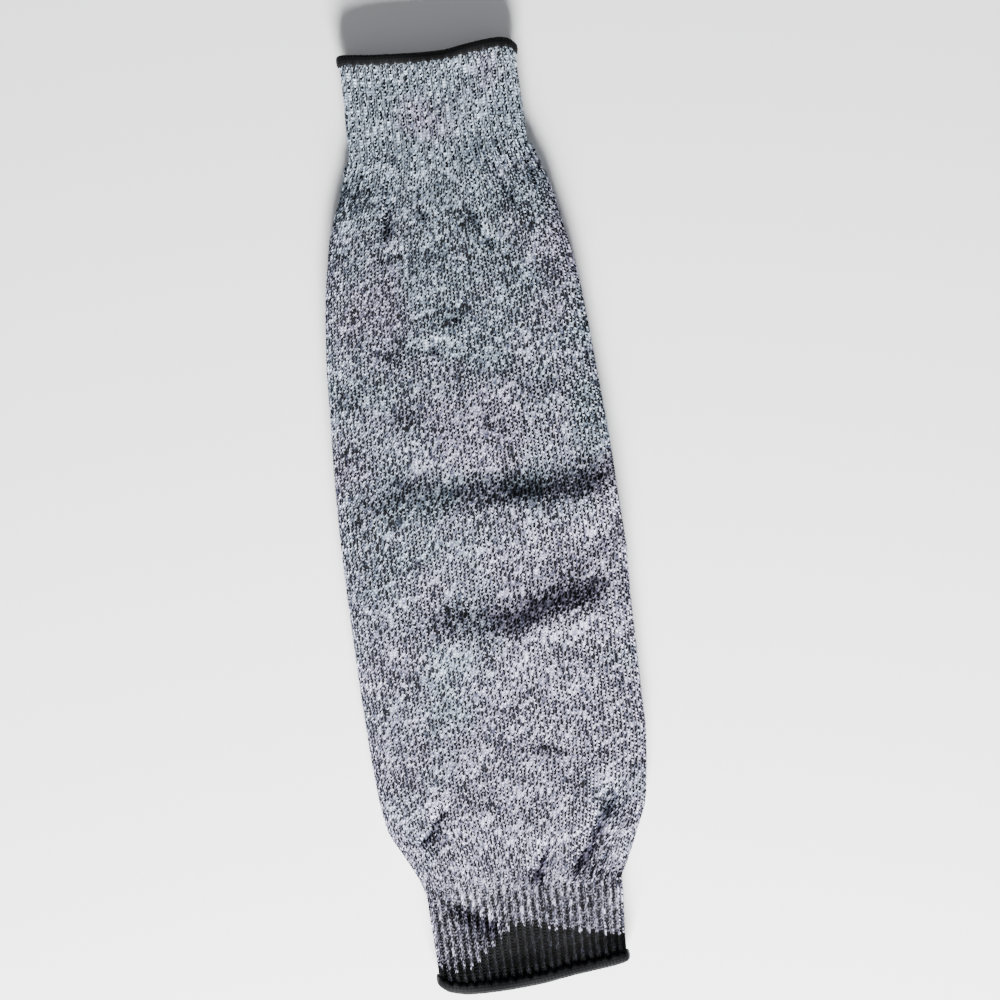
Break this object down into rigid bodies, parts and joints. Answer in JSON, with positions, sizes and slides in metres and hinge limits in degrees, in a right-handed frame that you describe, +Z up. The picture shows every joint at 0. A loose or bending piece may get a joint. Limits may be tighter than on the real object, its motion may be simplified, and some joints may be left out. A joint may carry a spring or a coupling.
{
  "type": "cut resistant sleeve",
  "caption": "Seamless knitted protective arm sleeve lying flat, a grey marl tube with ribbed cuffs, a charcoal yarn hump above the arm edge and black overlocked edges.",
  "frame": {"origin": "middle of the sleeve's footprint on the surface it lies on", "axes": "+Y along the sleeve towards the wrist, +X across it to the right of the front face, +Z up out of the front face"},
  "size_m": [0.1098, 0.3646, 0.018],
  "materials": {
    "marl_knit": "soft matt plain and rib knit of light grey yarn flecked with charcoal",
    "charcoal_knit": "soft matt rib knit of charcoal yarn with a few grey flecks",
    "overlock_thread": "matt black overlock stitching"
  },
  "bodies": {
    "root": {"wrist_edge_overlock": "overlock_thread", "wrist_cuff": "marl_knit", "sleeve_body": "marl_knit", "arm_cuff": "marl_knit", "charcoal_band": "charcoal_knit", "arm_edge_overlock": "overlock_thread"}
  },
  "joints": []
}
